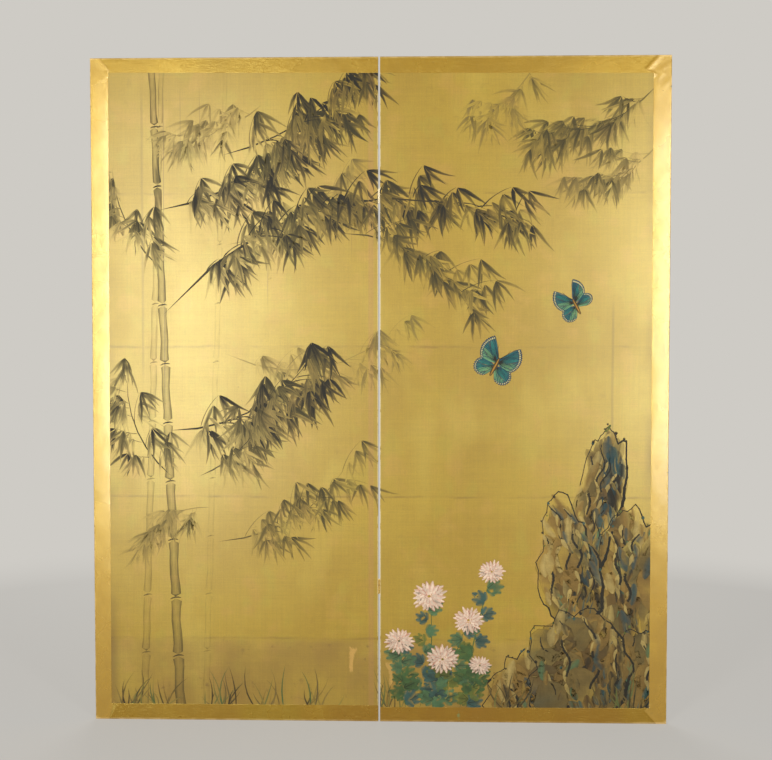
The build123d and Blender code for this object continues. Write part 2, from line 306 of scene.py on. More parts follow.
groundLook = {
    "gold": paint(184, 150, 46), "warmGold": paint(172, 136, 36), "paleGold": paint(198, 168, 68),
    "rosy": paint(194, 148, 64), "green": paint(176, 153, 48),
    "brown": paint(112, 76, 24), "stain": paint(140, 100, 30), "wear": paint(228, 210, 160),
    # depth and strength of the relief
    "roughness": 0.31, "metallic": 0.08, "relief": (0.00012, 0.55),
    # the sheen of the gilding, which every coat of paint on it shares
    "sheen": {"Specular_IOR_Level": 1.0, "Specular_Tint": (1.0, 1.0, 0.66)},
    # mottling: fineness, the same upright as a share, noise where it starts and is whole, strength, colour
    "mottles": ((5.5, 0.6, 0.5, 0.72, 0.6, "paleGold"), (13, 1, 0.52, 0.7, 0.4, "rosy"),
                (15, 0.8, 0.54, 0.7, 0.4, "green")),
    # joins between the sheets of silk, and how dark each sheet is from the lowest up
    "joinHeights": (0.217, 0.588, 0.978, 1.372), "joinWidth": 0.0056,
    "sheetTones": (-0.016, 0.012, -0.01, 0.016, -0.02),
    # upright creases and streaks: place, lowest, highest, half width, strength
    "streaks": ((-0.612, 0.86, 1.66, 0.005, 0.3), (-0.556, 0.8, 1.67, 0.0022, 0.45),
                (-0.512, 1.4, 1.67, 0.0018, 0.35), (-0.462, 1.42, 1.67, 0.0018, 0.35),
                (-0.287, 1.05, 1.38, 0.0018, 0.45), (-0.07, 1.16, 1.42, 0.0018, 0.3),
                (0.6, 0.46, 1.12, 0.0048, 0.34), (0.385, 0.05, 0.23, 0.0018, 0.3)),
    "stainTop": 0.222, "stainSoft": 0.022,
    # painted shade beside the side borders from and to, measured from the outer edge; worn from and to, from
    # the fold
    "besideBorderShade": (0.07, 0.043), "foldWear": (0.003, 0.0006),
    # where the gilding has come off: straight edge, way to the slanting one, foot, top, widths, strength
    "losses": ((-0.0775, 1, 0.128, 0.199, 0.0095, 0.027, 0.85),
               (0.035, -1, 0.092, 0.16, 0.0085, 0.024, 0.6)),
    "lossColour": paint(216, 168, 86),
    "rosyBand": (-0.0206, 0.01), "rosyBandColour": paint(184, 132, 76),
}


def gildedGround(finish):
    # the gilded silk as a shader, with the tone and relief that paint on it takes over
    look, x, z = groundLook, finish.x, finish.z
    clouds, finish.colour = finish.grain(2.6, 4, 0.6), look["gold"]
    finish.over(clouds.rise(0.36, 0.64), look["warmGold"])
    for scale, tall, low, high, strength, tint in look["mottles"]:
        finish.over(finish.grain(scale, 3, stretch=(1, 1, tall)).rise(low, high) * strength, look[tint])

    # threads: broad soft bands, then the fine weave
    warp, weft = finish.threads(260, 1, 5, detail=3), finish.threads(5, 1, 280, detail=3)
    fineWarp, fineWeft = finish.threads(1150, 1, 42), finish.threads(42, 1, 1150)
    dust = finish.grain(430) - 0.5
    tone = 1 + warp * 0.2 + weft * 0.2 + fineWarp * 0.22 + fineWeft * 0.24 + dust * 0.24

    drift = (finish.grain(3.0, 4, 0.6) - 0.5) * 0.016
    wavy, broken = z + drift, finish.grain(6, 5, 0.65, (1, 1, 3)).rise(0.44, 0.66)
    marks, sheets = 0, look["sheetTones"]
    tone = tone + sheets[0]
    for height, below, above in zip(look["joinHeights"], sheets, sheets[1:]):
        line = abs(wavy - height).rise(look["joinWidth"], 0.0)
        marks = line * (broken * 0.46 + 0.03) + marks
        tone = wavy.rise(height - 0.002, height + 0.002) * (above - below) + tone
    for place, low, high, half, strength in look["streaks"]:
        line = abs(x + drift * 0.4 - place).rise(half, half * 0.2)
        marks = marks.most(line * z.rise(low, low + 0.1) * z.rise(high, high - 0.08) * strength)
    finish.over(marks, look["brown"])

    stain = (z + drift * 1.5).rise(look["stainTop"], look["stainTop"] - look["stainSoft"])
    finish.over(stain * finish.grain(7, 4).rise(0.2, 0.75) * 0.75, look["stain"])
    specks = finish.spots(11, 0.0021).most(finish.spots(23, 0.0011))
    foxing = finish.grain(38, 3).rise(0.64, 0.78) * (0.1 + stain * 0.45)
    # painted shade on the silk along the side borders, in patches
    besideBorderShade = (outerEdge - abs(x)).rise(*look["besideBorderShade"]) * finish.grain(4, 3).rise(0.4, 0.7) * 0.5
    finish.over(specks.most(foxing).most(besideBorderShade), look["brown"])
    middle, half = look["rosyBand"]
    finish.over(abs(x - middle).rise(half, half * 0.4) * 0.4, look["rosyBandColour"])
    worn = (abs(x) - hingeEdge).rise(*look["foldWear"]) * finish.grain(60, 3).rise(0.3, 0.5)
    finish.over(worn * 0.8, look["wear"])

    ragged, loss = finish.grain(130, 5, 0.75, (1, 1, 0.5)) - 0.5, 0
    for edge, way, foot, top, narrow, wide, strength in look["losses"]:
        up = z.rise(foot + (top - foot) * 0.35, top)
        beyond = (x - edge) * way
        across = beyond * (1 / narrow) * (1 - up * (1 - narrow / wide))
        inside = (abs(across * 2 - 1) + ragged * 2.4).rise(1.2, 0.62)
        height = z + ragged * 0.03 + beyond * 0.2
        loss = inside * height.rise(foot, foot + 0.007) * height.rise(top, top - 0.007) * strength + loss
    finish.over(loss, look["lossColour"])
    # painted shade: the silk a little darker towards the foot, where less light falls
    tone = tone * (1 - z.rise(0.3, 0.08) * 0.07)
    relief = fineWarp * 0.3 + fineWeft + dust * 0.2 + marks * 0.8 - loss * 1.5
    gilding = finish.coat(relief, *look["relief"], tone, **look["sheen"],
                          Roughness=look["roughness"] + (clouds - 0.5) * 0.14 + stain * 0.12 + loss * 0.3,
                          Metallic=look["metallic"] * (1 - (stain * 0.35).most(loss).most(marks * 0.6)))
    return gilding, tone, relief


def makeSilkFinish():
    finish = Finish("gildedSilk")
    return finish.done(gildedGround(finish)[0])


silkShape = {"sink": 0.00022, "cell": 0.009, "thickness": 0.00012}


def silkDepth(x, z):
    # the pasted silk lies a hair lower here and there
    return silkFace + silkShape["sink"] * (0.5 + 0.5 * noise.noise(Vector((x * 5.2, 3.7, z * 4.1))))


def makeSilk(side):
    sign = sides[side]
    width, height = silkHigh.x - silkLow.x, silkHigh.z - silkLow.z
    shape = bmesh.new()
    bmesh.ops.create_grid(shape, x_segments=round(width / silkShape["cell"]),
                          y_segments=round(height / silkShape["cell"]), size=0.5)
    for vert in shape.verts:
        x = sign * silkLow.x + sign * width / 2 + vert.co.x * width
        z = silkLow.z + (vert.co.y + 0.5) * height
        vert.co = x, silkDepth(x, z), z
    shape.normal_update()
    bmesh.ops.solidify(shape, geom=shape.faces[:], thickness=silkShape["thickness"])
    piece = keepPiece(shape, f"{side}_gilded_silk", side, silkFinish)
    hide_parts(f"{side}_painted_silk")


# border cloth

borderLook = {
    "gold": paint(180, 132, 26), "deepGold": paint(167, 119, 19), "paleGold": paint(192, 148, 42),
    "worn": paint(236, 200, 144), "brown": paint(128, 88, 20), "verdigris": paint(122, 142, 92),
    # broad stains of the lower strips: left end, right end, how soft both are, colour, strength
    "stains": ((-0.17, 0.6, 0.07, paint(150, 92, 22), 0.8),
               (-0.385, -0.235, 0.05, paint(160, 140, 30), 0.45)),
    "nicks": (1.64, 1.028, 0.655), "nick": paint(70, 44, 20), "chip": (0.207, 0.016),
    # painted highlight along the fold beside the lower left mitre: top and foot as x and z, half width,
    # colour
    "flapHighlight": ((-0.6925, 0.04), (-0.711, 0.002), 0.0062), "flapHighlightColour": paint(206, 172, 80),
    # rubbed from and to, measured from the outer edge, the top and the foot; both for the corners' tips
    "edgeWear": (0.0034, 0.0004), "topWear": (0.006, 0.0012), "footWear": (0.006, 0.0022),
    "tipWear": ((0.008, 0.001), (0.012, 0.003), (0.01, 0.0)),
    # fineness of the threads along and across an upright strip, and of its slubs, in X, Y and Z
    "threads": ((1300, 1300, 40), (60, 60, 1500), (420, 420, 12)),
    # tone and sheen of the strips that stand and of those that lie; the tones are painted light and shade,
    # the standing strips lit and the lying ones shaded
    "roughness": 0.28, "metallic": 0.1,
    "upright": (1.1, {"Specular_IOR_Level": 1.0, "IOR": 2.0, "Specular_Tint": (1.0, 0.84, 0.26),
                       "Coat_Weight": 0.8, "Coat_Roughness": 0.2}),
    "level": (0.78, {"Specular_IOR_Level": 1.0, "IOR": 1.8, "Specular_Tint": (1.0, 0.84, 0.26)}),
}

borderShape = {
    "foldRadius": 0.0013, "hemRadius": 0.0003, "turnover": 0.02,
    "fineStep": 0.0028, "coarseStep": 0.011, "fineReach": 0.085, "acrossStep": 0.0038,
    "depthCuts": (-0.004, 0.0014, 0.007),
    "support": 0.0004,           # a cut this far beyond each rounding keeps the flat cloth's shading flat
    "wave": 0.00028, "crown": {"side": 0.0003, "top": 0.00006, "bottom": 0.00002},
    "lapHeight": 0.0009, "lapWidth": 0.0052, "warpReach": 0.3,
    "highest": 0.00092,          # folded face to face, the borders lie 2 mm apart
    # only the outer skin rises, from and to this far out, and less and less from and to this near the back
    "skin": (0.00045, 0.00055), "backFade": (0.0005, 0.004),
    # widths of the cloth as it was cut, at the outer corner and at the fold, or at the top and the bottom
    "topCut": {"left": (0.037, 0.0415), "right": (0.0457, 0.0416)},
    "bottomCut": {"left": (0.0416, 0.0423), "right": (0.041, 0.038)},
    "sideCut": {"left": (0.0475, 0.042), "right": (0.0462, 0.0446)},
    # how far each mitre was folded past its line, at the outer edge and at the hem, and how soon that ends
    "mitrePull": {"left_top": (-0.002, 0.007), "right_top": (0.007, 0.026),
                  "left_bottom": (0.012, 0.004), "right_bottom": (0.001, 0.017)},
    "pullEnd": 0.006, "pullReach": 0.1,
    # creases at an outer corner: start and end measured in from it along and down, height, half width
    "creases": {
        "left_top": ((0.04, 0.034, 0.022, 0.003, 0.0004, 0.0026), (0.012, 0.07, 0.04, 0.052, 0.0001, 0.004),
                     (0.09, 0.008, 0.04, 0.012, 0.0002, 0.004)),
        "right_top": ((0.045, 0.04, 0.024, 0.002, 0.0011, 0.0034), (0.034, 0.058, 0.006, 0.02, 0.0004, 0.004),
                      (0.02, 0.08, 0.002, 0.052, 0.0002, 0.0045)),
        "left_bottom": ((0.044, 0.038, 0.032, 0.003, 0.0007, 0.0026),
                        (0.056, 0.037, 0.037, 0.005, 0.0009, 0.004)),
        "right_bottom": ((0.044, 0.036, 0.026, 0.003, 0.0007, 0.0024),
                         (0.02, 0.06, 0.036, 0.046, 0.0002, 0.004)),
    },
}


def makeClothFinish(name, upright):
    # its glossy threads run along the strip
    look, finish = borderLook, Finish(name, borderLook["gold"])
    x, z, clouds = finish.x, finish.z, finish.grain(6, 4, 0.6)
    inward, down = outerEdge - abs(x), panelTop - z
    finish.over(clouds.rise(0.38, 0.66), look["deepGold"])
    finish.over(finish.grain(17, 3).rise(0.56, 0.74) * 0.5, look["paleGold"])
    along, across, slub = (finish.threads(*fineness[::1 if upright else -1]) for fineness in look["threads"])
    # painted light and shade: one cloth, made lighter on the standing strips and darker on the lying ones
    tone, sheen = look["upright" if upright else "level"]
    tone = tone + (finish.grain(380) - 0.5) * 0.16 + along * 0.22 + across * 0.24 + slub * 0.1
    # painted sheen: lighter up the standing strips and towards the outer ends of the top strips
    tone = tone + abs(x).rise(0.34, 0.7) * z.rise(0.9, 1.6) * 0.14

    # rubbed pale along the folds, most of all at the foot and the lower corners
    scuffs, (tipTop, tipFoot, tipSide) = finish.grain(46, 4).rise(0.4, 0.6), look["tipWear"]
    tips = z.rise(*tipFoot).most(down.rise(*tipTop)) * inward.rise(*tipSide)
    rubbed = inward.rise(*look["edgeWear"]) * scuffs * 0.6
    rubbed = rubbed.most(down.rise(*look["topWear"]) * (scuffs * 0.4 + 0.3))
    rubbed = rubbed.most(z.rise(*look["footWear"]) * (finish.grain(30, 4).rise(0.4, 0.62) * 0.5 + 0.3))
    rubbed = rubbed.most(tips * finish.grain(120, 3).rise(0.3, 0.5))
    finish.over(rubbed, look["worn"])
    # painted shade: browner and darker towards the foot
    finish.over(z.rise(0.4, 0.02) * (0.35 + clouds * 0.5) * 0.35, look["brown"])
    if not upright:
        # a painted highlight along the fold of the lower left mitre
        (topX, topZ), (footX, footZ), half = look["flapHighlight"]
        slant = (topX - footX) / (topZ - footZ)
        flapHighlight = abs(x - topX - (z - topZ) * slant).rise(half, half * 0.45) * z.rise(footZ, footZ + 0.006)
        finish.over(flapHighlight * z.rise(topZ + 0.002, topZ - 0.004) * 0.55, look["flapHighlightColour"])
        for low, high, soft, stain, strength in look["stains"]:
            inside = x.rise(low, low + soft) * x.rise(high + soft, high) * z.rise(0.4, 0.2)
            finish.over(inside * (0.55 + (clouds - 0.5) * 1.2) * strength, stain)
    chipX, chipZ = look["chip"]
    chip = abs(x - chipX) * 110 + abs(z - chipZ) * 40 + finish.grain(170, 4, 0.7) * 2.4
    chip = chip.rise(1.75, 1.45) * finish.y.rise(0, -0.004)
    finish.over(chip * 0.8, look["verdigris"])
    nicks = 0
    for height in look["nicks"]:
        nicks = (abs(x - outerEdge) + abs(z - height) * 1.4).rise(0.0055, 0.003) + nicks
    finish.over(nicks * 0.8, look["nick"])
    finish.over(finish.spots(19, 0.0016).most(finish.grain(60, 3).rise(0.68, 0.8) * 0.25), look["brown"])
    return finish.done(finish.coat(along + across * 0.12 + slub * 0.3, 0.0003, 0.8, tone, **sheen,
                                   Roughness=look["roughness"] + rubbed * 0.25 + (clouds - 0.5) * 0.12,
                                   Metallic=look["metallic"] * (1 - rubbed.most(chip))))


def share(value, low, high):
    return max(0.0, min(1.0, (value - low) / (high - low)))


def clothRelief(side, part, inward, down, near):
    # outward rise of the cloth at a point measured in from the outer edge and from the nearer end
    form = borderShape
    rise = form["wave"] * noise.noise(Vector((inward * 30, down * 22, 7 + sides[side])))
    across = inward / sideWidth if part == "side" else down / topHeight
    if 0 < across < 1:
        rise += form["crown"][part] * math.sin(math.pi * across) ** 0.7
    here = Vector((inward, down))
    for startIn, startDown, endIn, endDown, height, half in form["creases"][f"{side}_{near}"]:
        start, line = Vector((startIn, startDown)), Vector((endIn - startIn, endDown - startDown))
        reach = share((here - start).dot(line), 0, line.length_squared)
        distance = (here - start - line * reach).length
        rise += height * math.sin(math.pi * (0.12 + 0.76 * reach)) * math.exp(-(distance / half) ** 2)
    height = topHeight if near == "top" else bottomHeight
    if part == "side" and down < height + 0.012:
        # its folded end lies over its neighbour
        slant = Vector((sideWidth - mitreSetback, height)).normalized()
        distance = (inward - mitreSetback) * slant.y - down * slant.x
        rise += form["lapHeight"] * math.exp(-(distance / form["lapWidth"]) ** 2)
    return form["highest"] * math.tanh(rise / form["highest"])


def clothPlace(side, part, co, normal):
    # where a point of the plain wrapped border lies: cut a little out of true, crowned and creased
    form, sign = borderShape, sides[side]
    inward = outerEdge - abs(co.x)
    upper = co.z > panelTop / 2
    down = panelTop - co.z if upper else co.z
    near, plain = ("top", topHeight) if upper else ("bottom", bottomHeight)
    atTop, atBottom = form["sideCut"][side]
    spare = atBottom + (atTop - atBottom) * co.z / panelTop - sideWidth
    shiftIn = spare * min(inward / sideWidth, 1 - share(inward, sideWidth, form["warpReach"]))
    atCorner, atFold = form[f"{near}Cut"][side]
    spare = atCorner + (atFold - atCorner) * inward / outerEdge - plain
    shiftDown = spare * min(down / plain, 1 - share(down, plain, form["warpReach"]))
    outside = Vector((max(0, abs(co.x) - outerEdge + clothThickness),
                      max(0, clothFace + clothThickness - co.y, co.y - clothBack + clothThickness),
                      max(0, co.z - panelTop + clothThickness, clothThickness - co.z))).length
    # the turnover on the back lies flat, because the facing paper covers it
    rise = clothRelief(side, part, inward, down, near) * share(outside, *form["skin"])
    moved = co + Vector((normal.x, normal.y, 0)) * rise * share(clothBack - co.y, *form["backFade"])
    if down < plain:
        atEdge, atHem = form["mitrePull"][f"{side}_{near}"]
        along = down / plain
        mitreIn = mitreSetback + (sideWidth - mitreSetback) * along
        end = mitreIn + form["pullReach"]
        reach = inward / mitreIn if part == "side" else 1 - share(inward, mitreIn, end)
        shiftIn += (atEdge + (atHem - atEdge) * along) * share(plain - down, 0, form["pullEnd"]) * reach
    if co.y < 0:
        moved.x -= sign * shiftIn
        moved.z += -shiftDown if upper else shiftDown
    return moved


def lies(edge, axis, *places):
    # whether an edge lies in one of the planes square to an axis, on either side of the fold
    spots = [(abs(vert.co.x), vert.co.y, vert.co.z)[axis] for vert in edge.verts]
    return any(max(abs(spot - place) for spot in spots) < tiny for place in places)


def onFold(edge):
    return lies(edge, 1, clothFace, clothBack) + lies(edge, 0, outerEdge) + lies(edge, 2, 0, panelTop) >= 2


def onHem(edge):
    # the front cloth's edge against the silk
    return lies(edge, 1, clothFace) and (lies(edge, 0, clothLow.x) or lies(edge, 2, topLow.z, bottomHigh.z))


def cutPlaces(low, high, corners):
    # places from low to high, close together near the corners
    form, places, here = borderShape, [], low
    while here < high:
        nearest = min(abs(here - corner) for corner in corners)
        here += form["fineStep"] if nearest < form["fineReach"] else form["coarseStep"]
        places.append(here)
    return places[:-1]


def makeBorder(side, part):
    name, sign, form = f"{side}_{part}_border", sides[side], borderShape
    besideFold, besideHem = form["foldRadius"] + form["support"], form["hemRadius"] + form["support"]
    shape = bmesh.new()
    shape.from_mesh(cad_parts[name].data)
    bmesh.ops.remove_doubles(shape, verts=shape.verts, dist=tiny / 10)
    bmesh.ops.dissolve_limit(shape, angle_limit=math.radians(1), verts=shape.verts, edges=shape.edges)
    for choose, radius, segments in ((onFold, form["foldRadius"], 3), (onHem, form["hemRadius"], 2)):
        bmesh.ops.bevel(shape, geom=[edge for edge in shape.edges if choose(edge)], offset=radius,
                        offset_type="OFFSET", segments=segments, profile=0.5, affect="EDGES",
                        clamp_overlap=True, material=-1)
    # cuts, each as the axis that it is square to and its place
    steps = [form["acrossStep"] * number for number in range(1, 12)]
    if part == "side":
        cuts = [(2, place) for place in cutPlaces(0, panelTop, (0, panelTop))]
        cuts += [(0, sign * (outerEdge - step)) for step in steps] + [(0, sign * (clothLow.x + besideHem))]
    else:
        cuts = [(0, sign * place) for place in cutPlaces(hingeEdge, outerEdge, (outerEdge,))]
        cuts += [(2, step if part == "bottom" else panelTop - step) for step in steps[:-1]]
        cuts += [(2, bottomHigh.z - besideHem if part == "bottom" else topLow.z + besideHem)]
    cuts += [(1, depth) for depth in (*form["depthCuts"], clothFace + besideFold, clothBack - besideFold)]
    cuts += [(0, sign * (outerEdge - besideFold)), (2, besideFold), (2, panelTop - besideFold)]
    for axis, place in cuts:
        cutAt(shape, axis, place)
    shape.normal_update()
    places = [clothPlace(side, part, vert.co.copy(), vert.normal.copy()) for vert in shape.verts]
    for vert, place in zip(shape.verts, places):
        vert.co = place
    piece = keepPiece(shape, f"{name}_cloth", side, clothFinishes[part == "side"])
    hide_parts(name)


# brushwork

inks = {
    "black": paint(34, 31, 20), "olive": paint(62, 56, 30), "wash": paint(112, 96, 52),
    "teal": paint(62, 92, 84), "blue": paint(44, 70, 72), "umber": paint(86, 66, 34),
    "ochre": paint(142, 112, 52), "buff": paint(182, 158, 92), "green": paint(72, 100, 54),
    "jade": paint(84, 116, 78), "moss": paint(104, 112, 48), "petal": paint(240, 216, 190),
    "blush": paint(224, 172, 146), "rose": paint(198, 118, 96), "pollen": paint(206, 150, 52),
    "wing": paint(44, 130, 118), "wingLight": paint(122, 176, 120), "wingDark": paint(26, 62, 84),
    "cream": paint(226, 214, 150),
}

# later strokes lie a hair over earlier ones
brushShape = {"bulge": 0.00001, "step": 0.0000012, "turns": 12, "layerGap": 0.00007, "overrun": 0.008,
              "soakCell": 0.005}


def toward(angle):
    return Vector((math.cos(angle), math.sin(angle)))


def beside(line):
    # as long as a line and square to it, on its left
    return Vector((-line.y, line.x))


def bowed(start, line, bow, along):
    # a point of a line that is bowed sideways by a share of its length
    return start + line * along + beside(line) * (4 * bow * along * (1 - along))


def leafSwell(along):
    return math.sin(math.pi * along ** 0.62) ** 0.85


def lineSwell(along):
    return min(1, along * 14) ** 0.5 * (1 - 0.72 * along)


def dabSwell(along):
    return math.sqrt(max(0, 1 - (2 * along - 1) ** 2))


def stemSwell(along):
    return min(1, along * 30, (1 - along) * 30) * (0.9 + 0.24 * (2 * along - 1) ** 4)


# steps along and across a stroke, its outline, whether its steps bunch at the ends, and the share of
# the earlier paint that shows through it
strokeForms = {
    "leaf": (5, 2, leafSwell, False, 0.55), "line": (6, 2, lineSwell, False, 0.9),
    "dab": (6, 2, dabSwell, True, 0.9), "stem": (7, 4, stemSwell, True, 0.9),
}


def strokeBlank(along, across):
    # a flat closed form to press every stroke from: even face in front, low swell behind, welded at the rim
    shape = bmesh.new()
    bmesh.ops.create_grid(shape, x_segments=along, y_segments=across, size=0.5)
    for vert in shape.verts:
        if abs(vert.co.x) > 0.499:
            vert.co.y = 0
    back = bmesh.ops.duplicate(shape, geom=shape.verts[:] + shape.edges[:] + shape.faces[:])["geom"]
    bmesh.ops.reverse_faces(shape, faces=[part for part in back if isinstance(part, bmesh.types.BMFace)])
    for part in back:
        if isinstance(part, bmesh.types.BMVert) and abs(part.co.x) < 0.499 and abs(part.co.y) < 0.499:
            part.co.z = -1
    bmesh.ops.remove_doubles(shape, verts=shape.verts, dist=tiny)
    return toMesh(shape, "strokeBlank")


# what has been painted so far, cell by cell, as colour and strength
soaked = {}


def soakedCell(spot):
    return round(spot.x / brushShape["soakCell"]), round(spot.y / brushShape["soakCell"])


class Stroke:
    # one touch of the brush from start to end, bowed sideways by a share of its length

    def __init__(self, chance, start, end, width, ink, strength, form="leaf", bow=0.0, fade=0.0, rim=0.8):
        tint, self.luck = chance.uniform(0.86, 1.16), chance.random()
        self.colour = [min(1, part * tint) for part in inks[ink]]
        self.start, self.line, self.width, self.bow = Vector(start), Vector(end) - Vector(start), width, bow
        self.strength, self.form, self.fade, self.rim = strength, form, fade, rim
        self.spots, self.pigments = [], []

    def spot(self, along, across):
        way = (self.line + beside(self.line) * (4 * self.bow * (1 - 2 * along))).normalized()
        swell = strokeForms[self.form][2](along)
        half = self.width / 2 * swell * (1 + 0.14 * math.sin(along * 9 + self.luck * 40 + across * 1.7))
        return bowed(self.start, self.line, self.bow, along) + beside(way) * across * half

    def overEarlier(self, along, across, spot):
        # the pigment here, mixed with what lies under it; it fades to the tip and at the rim
        tone = self.strength * (1 - self.fade * along) * (1 + (self.rim - 1) * across ** 2)
        tone = max(0.0, min(1.0, tone))
        *under, depth = soaked.get(soakedCell(spot), (0, 0, 0, 0))
        rest = depth * (1 - tone) * strokeForms[self.form][4]
        whole = max(tone + rest, tiny)
        return [(mine * tone + theirs * rest) / whole for mine, theirs in zip(self.colour, under)] + [whole]

    def settle(self):
        # places and pigments for the corners of its blank, then its own mark on the cells it covers
        bunched = strokeForms[self.form][3]
        for vert in strokeBlanks[self.form].vertices:
            along, across = vert.co.x + 0.5, vert.co.y * 2
            if bunched:
                along = 0.5 - 0.5 * math.cos(math.pi * along)
            spot = self.spot(along, across)
            self.spots.append((spot, along, across, vert.co.z))
            self.pigments.append(self.overEarlier(along, across, spot))
        cell, fresh = brushShape["soakCell"], {}
        steps, rows = max(2, round(self.line.length / cell)), max(1, round(self.width / cell))
        for step in range(steps + 1):
            for row in range(rows):
                along, across = step / steps, (2 * row + 1) / rows - 1
                spot = self.spot(along, across)
                fresh[soakedCell(spot)] = self.overEarlier(along, across, spot)
        soaked.update(fresh)


class Motif:
    # the strokes of one painted thing, in the order that they were laid

    def __init__(self, name, layer, seed):
        self.name, self.layer, self.strokes, self.chance = name, layer, [], random.Random(seed)

    def stroke(self, *touch, **manner):
        self.strokes.append(Stroke(self.chance, *touch, **manner))

    def flick(self, root, way, near, far, *touch, **manner):
        # a stroke along a way, between two shares of it
        self.stroke(root + way * near, root + way * far, *touch, **manner)

    def trail(self, points, width, ink, strength):
        # one line through points, its width worked out from the share of the way along it
        for number, (near, far) in enumerate(zip(points, points[1:])):
            wide = width((number + 0.5) / (len(points) - 1))
            self.stroke(near, far + (far - near) * 0.12, wide, ink, strength, "stem", rim=0.9)


def layOn(side, motif):
    # presses the strokes that reach one panel on its silk, cut off at the fold and under the borders
    sign, form = sides[side], brushShape
    inner, outer = hingeEdge, clothLow.x + form["overrun"]
    low, high = bottomHigh.z - form["overrun"], topLow.z + form["overrun"]
    kept = []
    for stroke in motif.strokes:
        across = [sign * spot.x for spot, *rest in stroke.spots]
        if max(across) > inner and min(across) < outer:
            kept.append(stroke)
    if not kept:
        return
    shape = bmesh.new()
    pigment = shape.verts.layers.float_color.new("pigment")
    brush = shape.verts.layers.float_vector.new("brush")
    for stroke in kept:
        shape.from_mesh(strokeBlanks[stroke.form])
    verts = iter(shape.verts)
    for order, stroke in enumerate(kept):
        lift = (motif.layer + order / len(kept)) * form["layerGap"] + order % form["turns"] * form["step"]
        lift += form["bulge"] * 1.5
        for (spot, along, across, behind), mixed in zip(stroke.spots, stroke.pigments):
            vert = next(verts)
            vert.co = spot.x, silkDepth(spot.x, spot.y) - lift - behind * form["bulge"], spot.y
            vert[pigment] = mixed
            vert[brush] = along * stroke.line.length, across * stroke.width / 2, stroke.luck
    for axis, place, way in ((0, sign * inner, -sign), (0, sign * outer, sign), (2, low, -1), (2, high, 1)):
        cutAt(shape, axis, place, way, clear_outer=True)
        bmesh.ops.holes_fill(shape, edges=[edge for edge in shape.edges if edge.is_boundary], sides=0)
    if shape.faces:
        keepPiece(shape, f"{side}_{motif.name}", side, brushFinish)
    else:
        shape.free()


def makeBrushFinish():
    # matt pigment over the same gilded ground, thin where the brush ran dry
    finish = Finish("brushwork")
    gilding, tone, relief = gildedGround(finish)
    finish.colour = finish.add("Attribute", {"attribute_name": "pigment"}, out="Color")
    strength = finish.other(finish.colour, "Alpha")
    brush = finish.add("Attribute", {"attribute_name": "brush"}, out="Vector")
    streaks = finish.noise(brush, 1, 3, 0.6, (26, 620, 97))
    pools = finish.noise(brush, 1, 2, 0.5, (60, 60, 53)) - 0.5
    cover = strength * 1.18 - (1 - streaks) * 0.62 * (1.25 - strength) + pools * 0.18
    weave = tone * (1 + pools * 0.6 + (finish.grain(700) - 0.5) * 0.3)
    pigment = finish.coat(relief * 0.5 + streaks * 0.5, *groundLook["relief"], weave,
                          Roughness=0.5 + streaks * 0.15, Specular_IOR_Level=0.3)
    return finish.done(finish.mixShaders(cover.rise(0.02, 0.98), gilding, pigment))


bambooLook = {
    # foot, top, width at the foot, strength
    "culms": (((-0.615, 0.03), (-0.56, 1.7), 0.021, 0.62), ((-0.52, 0.02), (-0.585, 1.7), 0.027, 0.8),
              ((-0.455, 0.035), (-0.395, 1.7), 0.018, 0.5), ((-0.35, 0.03), (-0.27, 1.32), 0.013, 0.36)),
    # length between joints, width of a leaf as a share of its length, and the fan of a sprig in radians
    "jointSpan": 0.155, "leafWidth": 0.12, "fan": 0.7,
    # branch: start, end, bow, width, how many twigs, leaf length, ink, strength
    "branches": (
        ((-0.57, 1.33), (-0.17, 1.57), -0.1, 0.0065, 20, 0.086, "black", 0.96),
        ((-0.405, 1.47), (-0.04, 1.69), -0.08, 0.005, 17, 0.08, "black", 0.92),
        ((-0.566, 1.18), (-0.69, 1.44), 0.1, 0.005, 11, 0.078, "olive", 0.88),
        ((-0.56, 1.06), (0.36, 1.3), 0.17, 0.008, 36, 0.082, "black", 0.95),
        ((-0.1, 1.27), (0.23, 1.08), 0.14, 0.0045, 15, 0.076, "olive", 0.86),
        ((-0.545, 0.76), (-0.18, 0.94), -0.12, 0.006, 20, 0.086, "black", 0.96),
        ((-0.54, 0.64), (-0.655, 0.9), 0.12, 0.0045, 11, 0.074, "black", 0.92),
        ((-0.42, 0.47), (-0.09, 0.66), -0.12, 0.0045, 14, 0.072, "olive", 0.82),
        ((-0.47, 0.64), (-0.3, 0.8), -0.1, 0.004, 8, 0.072, "olive", 0.8),
    ),
    "farBranches": (
        ((-0.395, 1.24), (-0.09, 1.42), -0.1, 0.0045, 14, 0.074, "wash", 0.74),
        ((-0.3, 1.6), (-0.52, 1.52), 0.1, 0.004, 11, 0.072, "wash", 0.7),
        ((-0.4, 0.96), (0.04, 1.02), -0.16, 0.004, 14, 0.07, "wash", 0.68),
        ((-0.44, 0.56), (-0.6, 0.48), -0.14, 0.004, 10, 0.068, "wash", 0.66),
        ((0.715, 1.65), (0.4, 1.52), 0.12, 0.005, 18, 0.08, "olive", 0.78),
        ((0.715, 1.5), (0.52, 1.4), 0.12, 0.004, 12, 0.074, "wash", 0.74),
        ((0.4, 1.7), (0.25, 1.56), 0.08, 0.004, 9, 0.07, "wash", 0.66),
    ),
}


def paintSprig(motif, place, aim, count, length, ink, strength):
    # leaves from one point, fanned round an aim in radians
    chance, spread, width = motif.chance, bambooLook["fan"], length * bambooLook["leafWidth"]
    for number in range(count):
        turn = aim + spread * (2 * (number + 0.5) / count - 1) + chance.uniform(-0.16, 0.16)
        size, way = length * chance.uniform(0.7, 1.12), toward(turn)
        motif.flick(place + way * 0.002, way, 0, size, width * chance.uniform(0.8, 1.15), ink,
                    strength * chance.uniform(0.82, 1.08), bow=chance.uniform(-0.07, 0.07), fade=0.3)


